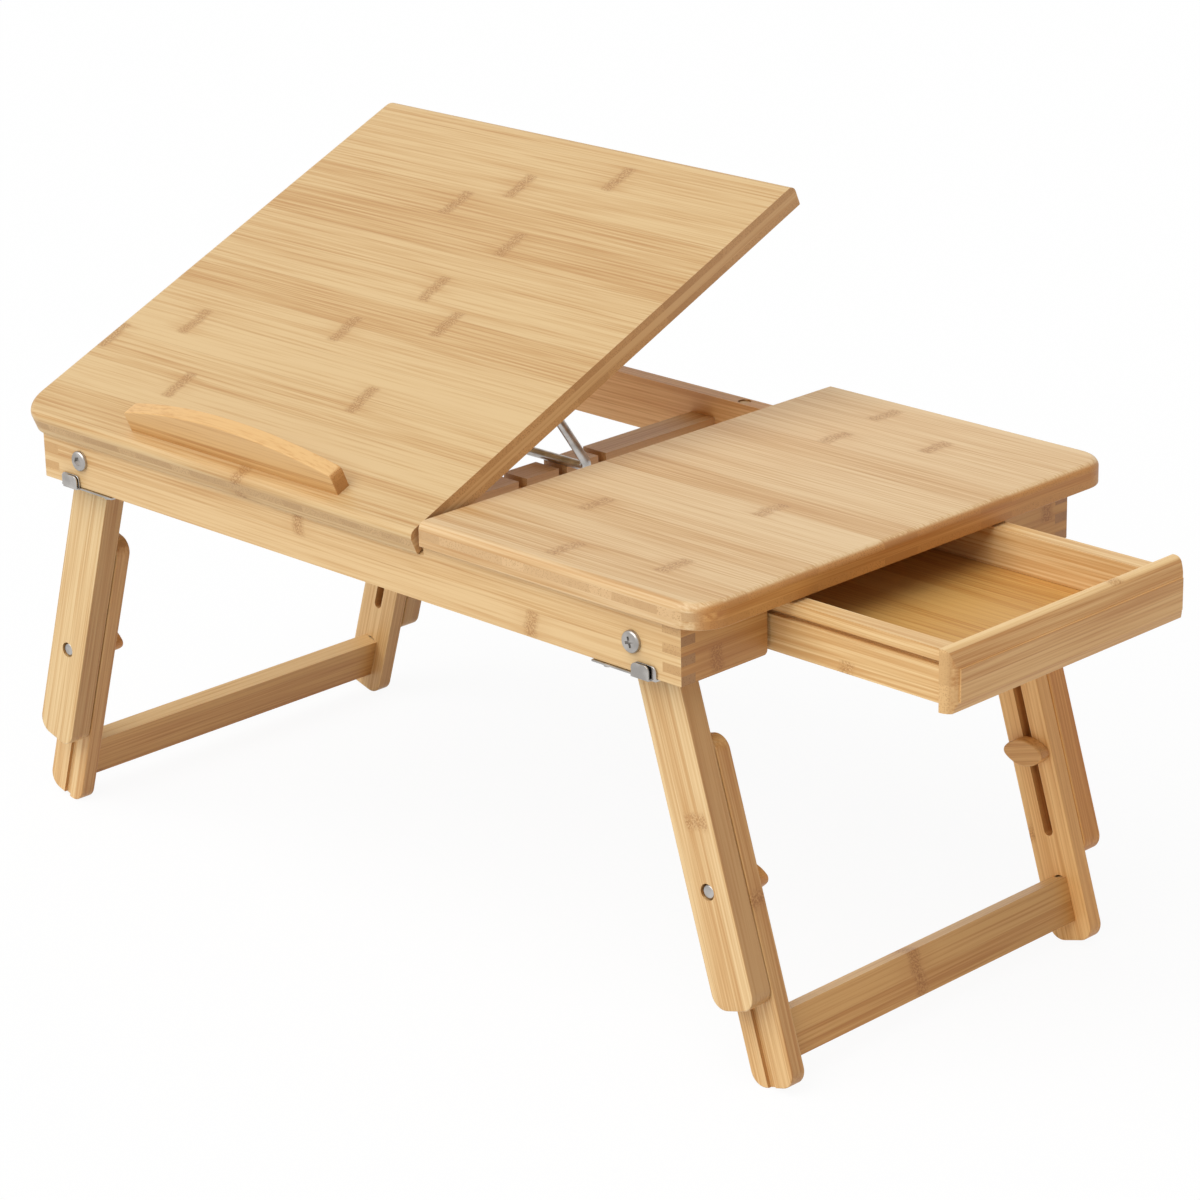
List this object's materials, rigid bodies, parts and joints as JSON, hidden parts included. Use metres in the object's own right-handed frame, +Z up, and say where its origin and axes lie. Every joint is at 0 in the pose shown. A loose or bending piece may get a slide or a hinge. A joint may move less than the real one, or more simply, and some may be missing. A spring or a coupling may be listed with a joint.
{
  "type": "lap desk",
  "caption": "Bamboo lap desk with a tilting top on a notched wire prop, a fixed side top over a pull-out drawer, and folding legs of adjustable length joined by stretchers.",
  "frame": {"origin": "on the floor, under the middle of the desk's bounding box as it stands with the top tilted and the drawer part open", "axes": "+X along the desk towards the drawer, +Y away from the user, +Z up"},
  "size_m": [0.6916, 0.3356, 0.3937],
  "materials": {
    "bamboo_panel": "satin lacquer over bamboo",
    "bamboo_frame": "satin lacquer over bamboo",
    "bamboo_drawer": "satin lacquer over bamboo",
    "bamboo_leg": "satin lacquer over bamboo",
    "bamboo_trim": "satin lacquer over bamboo",
    "satin_steel": "satin",
    "bright_steel": "polished"
  },
  "bodies": {
    "frame": {"front_rail": "bamboo_frame", "rear_rail": "bamboo_frame", "left_rail": "bamboo_frame", "right_front_stub": "bamboo_frame", "right_rear_stub": "bamboo_frame", "center_notched_bar": "bamboo_frame", "left_notched_bar": "bamboo_frame", "fixed_top": "bamboo_panel", "drawer_guide_front": "bamboo_frame", "drawer_guide_rear": "bamboo_frame", "drawer_runner_front": "bamboo_frame", "drawer_runner_rear": "bamboo_frame", "drawer_divider": "bamboo_frame", "rear_bumper": "bamboo_trim", "pivot_bolts": "satin_steel", "pivot_nuts": "satin_steel", "hinge_frame_leaves": "satin_steel", "hinge_pins": "satin_steel", "hinge_frame_screws": "bright_steel", "lock_screws": "bright_steel"},
    "tilting_top": {"tilt_top": "bamboo_panel", "book_ledge": "bamboo_trim", "ledge_dowels": "bamboo_trim", "hinge_top_leaves": "satin_steel", "hinge_top_screws": "bright_steel", "prop_clips": "satin_steel", "prop_clip_screws": "bright_steel"},
    "prop": {"prop_wire": "satin_steel"},
    "drawer": {"drawer_front": "bamboo_drawer", "drawer_side_front": "bamboo_drawer", "drawer_side_rear": "bamboo_drawer", "drawer_back": "bamboo_drawer", "drawer_bottom": "bamboo_drawer"},
    "right_upper_legs": {"upper_leg_right_front": "bamboo_leg", "upper_leg_right_rear": "bamboo_leg", "clamp_bolts_right": "satin_steel"},
    "right_lower_legs": {"lower_leg_right_front": "bamboo_leg", "lower_leg_right_rear": "bamboo_leg", "stretcher_right": "bamboo_leg"},
    "left_upper_legs": {"upper_leg_left_front": "bamboo_leg", "upper_leg_left_rear": "bamboo_leg", "clamp_bolts_left": "satin_steel"},
    "left_lower_legs": {"lower_leg_left_front": "bamboo_leg", "lower_leg_left_rear": "bamboo_leg", "stretcher_left": "bamboo_leg"},
    "knob_right_front": {"clamp_knob_right_front": "bamboo_trim", "knob_insert_right_front": "satin_steel"},
    "lock_right_front": {"leg_lock_right_front": "bright_steel"},
    "knob_right_rear": {"clamp_knob_right_rear": "bamboo_trim", "knob_insert_right_rear": "satin_steel"},
    "lock_right_rear": {"leg_lock_right_rear": "bright_steel"},
    "knob_left_front": {"clamp_knob_left_front": "bamboo_trim", "knob_insert_left_front": "satin_steel"},
    "lock_left_front": {"leg_lock_left_front": "bright_steel"},
    "knob_left_rear": {"clamp_knob_left_rear": "bamboo_trim", "knob_insert_left_rear": "satin_steel"},
    "lock_left_rear": {"leg_lock_left_rear": "bright_steel"}
  },
  "joints": [
    {"name": "tilt_top_hinge", "type": "hinge", "parent": "frame", "child": "tilting_top", "pos_m": [-0.14044, -0.15071, 0.25559], "axis": [1, 0, 0], "range_deg": [-23.5, 5]},
    {"name": "prop_swing", "type": "hinge", "parent": "tilting_top", "child": "prop", "pos_m": [-0.14369, -0.02998, 0.30476], "axis": [1, 0, 0], "range_deg": [-16.75, 78.55]},
    {"name": "drawer_slide", "type": "slide", "parent": "frame", "child": "drawer", "axis": [1, 0, 0], "range_m": [-0.122, 0.025]},
    {"name": "right_legs_fold", "type": "hinge", "parent": "frame", "child": "right_upper_legs", "pos_m": [0.18869, -0.00671, 0.23979], "axis": [0, 1, 0], "range_deg": [0, 100.5]},
    {"name": "right_legs_length", "type": "slide", "parent": "right_upper_legs", "child": "right_lower_legs", "axis": [-0.2924, 0, 0.9563], "range_m": [-0.04, 0.047]},
    {"name": "left_legs_fold", "type": "hinge", "parent": "frame", "child": "left_upper_legs", "pos_m": [-0.26105, -0.00671, 0.23979], "axis": [0, -1, 0], "range_deg": [0, 100.5]},
    {"name": "left_legs_length", "type": "slide", "parent": "left_upper_legs", "child": "left_lower_legs", "axis": [0.2924, 0, 0.9563], "range_m": [-0.04, 0.047]},
    {"name": "knob_turn_right_front", "type": "hinge", "parent": "right_upper_legs", "child": "knob_right_front", "pos_m": [0.22874, -0.12151, 0.10877], "axis": [0, 1, 0], "continuous": true},
    {"name": "lock_press_right_front", "type": "slide", "parent": "frame", "child": "lock_right_front", "axis": [0, -1, 0], "range_m": [0, 0.004], "stiffness_N_per_m": 300},
    {"name": "knob_turn_right_rear", "type": "hinge", "parent": "right_upper_legs", "child": "knob_right_rear", "pos_m": [0.22874, 0.10809, 0.10877], "axis": [0, -1, 0], "continuous": true},
    {"name": "lock_press_right_rear", "type": "slide", "parent": "frame", "child": "lock_right_rear", "axis": [0, 1, 0], "range_m": [0, 0.004], "stiffness_N_per_m": 300},
    {"name": "knob_turn_left_front", "type": "hinge", "parent": "left_upper_legs", "child": "knob_left_front", "pos_m": [-0.30111, -0.12151, 0.10877], "axis": [0, 1, 0], "continuous": true},
    {"name": "lock_press_left_front", "type": "slide", "parent": "frame", "child": "lock_left_front", "axis": [0, -1, 0], "range_m": [0, 0.004], "stiffness_N_per_m": 300},
    {"name": "knob_turn_left_rear", "type": "hinge", "parent": "left_upper_legs", "child": "knob_left_rear", "pos_m": [-0.30111, 0.10809, 0.10877], "axis": [0, -1, 0], "continuous": true},
    {"name": "lock_press_left_rear", "type": "slide", "parent": "frame", "child": "lock_left_rear", "axis": [0, 1, 0], "range_m": [0, 0.004], "stiffness_N_per_m": 300}
  ],
  "couplings": [
    {"joint": "prop_swing", "follows": "tilt_top_hinge", "ratio": -3.3404}
  ]
}
